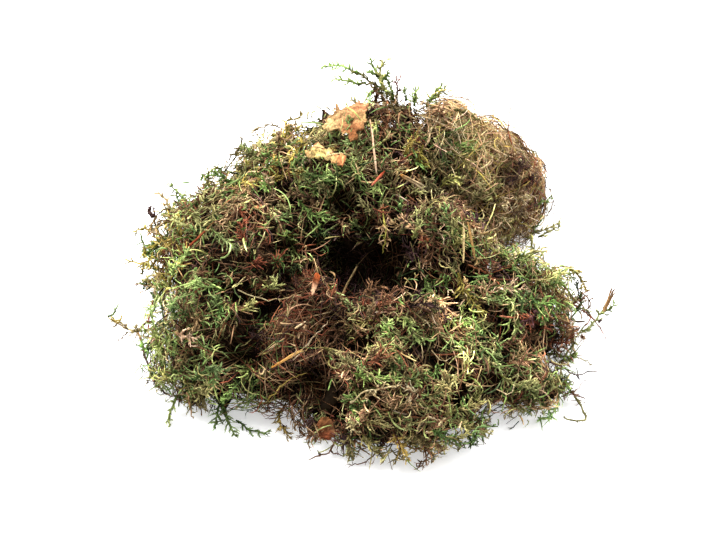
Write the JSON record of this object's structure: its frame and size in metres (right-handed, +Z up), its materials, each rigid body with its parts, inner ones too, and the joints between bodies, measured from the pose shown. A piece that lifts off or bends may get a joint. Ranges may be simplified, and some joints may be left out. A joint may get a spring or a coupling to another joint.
{
  "type": "moss clump",
  "caption": "Loose clump of pulled woodland moss: matted green, olive and brown shoots with root fibres, bark flakes, straws and stray sprigs, lying on a flat surface.",
  "frame": {"origin": "on the surface that the clump rests on, under the middle of its bounding box", "axes": "+Z up, +X the long way across the clump, -Y towards the side shown in front"},
  "size_m": [0.2062, 0.1672, 0.071],
  "materials": {
    "moss_fresh": "fresh green branched moss shoots, matt with a faint sheen on the leaf tips, brown at their bases",
    "moss_olive": "olive and yellow-green moss shoots mixed with brown dead ones, matt",
    "dead_stems": "matted dead moss stems and crumbled litter, dark reddish brown, matt",
    "root_fibres": "fine tangled root fibres, tan to grey-brown, matt",
    "bark": "thin bark flake, tan with orange and pink streaks, rough and flaking",
    "dead_leaf": "dry brown leaf blade with faint veins, slightly satin",
    "straw": "dry straw with fine lengthwise grain, satin",
    "twig": "thin brown to red-brown twig or conifer needle, fine lengthwise grain"
  },
  "bodies": {
    "root": {"moss_mat_left": "moss_fresh", "moss_mat_front_left": "moss_fresh", "moss_mat_right": "moss_fresh", "moss_mat_front_right": "moss_fresh", "moss_mat_back_left": "moss_fresh", "top_shoot_long": "moss_fresh", "top_rosette_left": "moss_fresh", "top_rosette_right": "moss_fresh", "top_shoot_right": "moss_fresh", "right_shoot_upper": "moss_fresh", "right_feather_shoot": "moss_fresh", "right_sprig": "moss_fresh", "front_shoot_hooked": "moss_fresh", "left_sprig": "moss_fresh", "back_left_shoot": "moss_fresh", "back_left_shoot_upper": "moss_fresh", "moss_mat_top": "moss_olive", "moss_mat_centre_right": "moss_olive", "moss_mat_front": "moss_olive", "moss_mat_back": "moss_olive", "top_shoot_short": "moss_olive", "top_shoot_red_tip": "moss_olive", "right_arched_shoot": "moss_olive", "front_shoot_left": "moss_olive", "front_shoot_corner": "moss_olive", "left_shoot_low": "moss_olive", "left_shoot_yellow": "moss_olive", "left_shoot_upper": "moss_olive", "dead_stem_ridge": "dead_stems", "dead_stem_bed": "dead_stems", "top_dark_fibre": "dead_stems", "right_dark_twig": "dead_stems", "right_thin_stem": "dead_stems", "right_dark_root": "dead_stems", "right_root_loop": "dead_stems", "right_brown_tuft": "dead_stems", "front_dark_root": "dead_stems", "front_thin_root": "dead_stems", "left_dark_root": "dead_stems", "left_crumb_stem": "dead_stems", "root_fibre_mat": "root_fibres", "top_fibre_loop": "root_fibres", "left_shoot_thin": "root_fibres", "bark_flake_large": "bark", "bark_flake_small": "bark", "red_bark_chip": "bark", "dead_leaf": "dead_leaf", "bud_scale": "dead_leaf", "split_straw": "straw", "long_straw_left": "straw", "long_straw_right": "straw", "centre_straw": "straw", "pale_straw": "straw", "orange_splinter": "straw", "seed_husk": "straw", "brown_twig": "twig", "red_needle": "twig", "red_splinter": "twig", "pink_stem": "twig"}
  },
  "joints": []
}
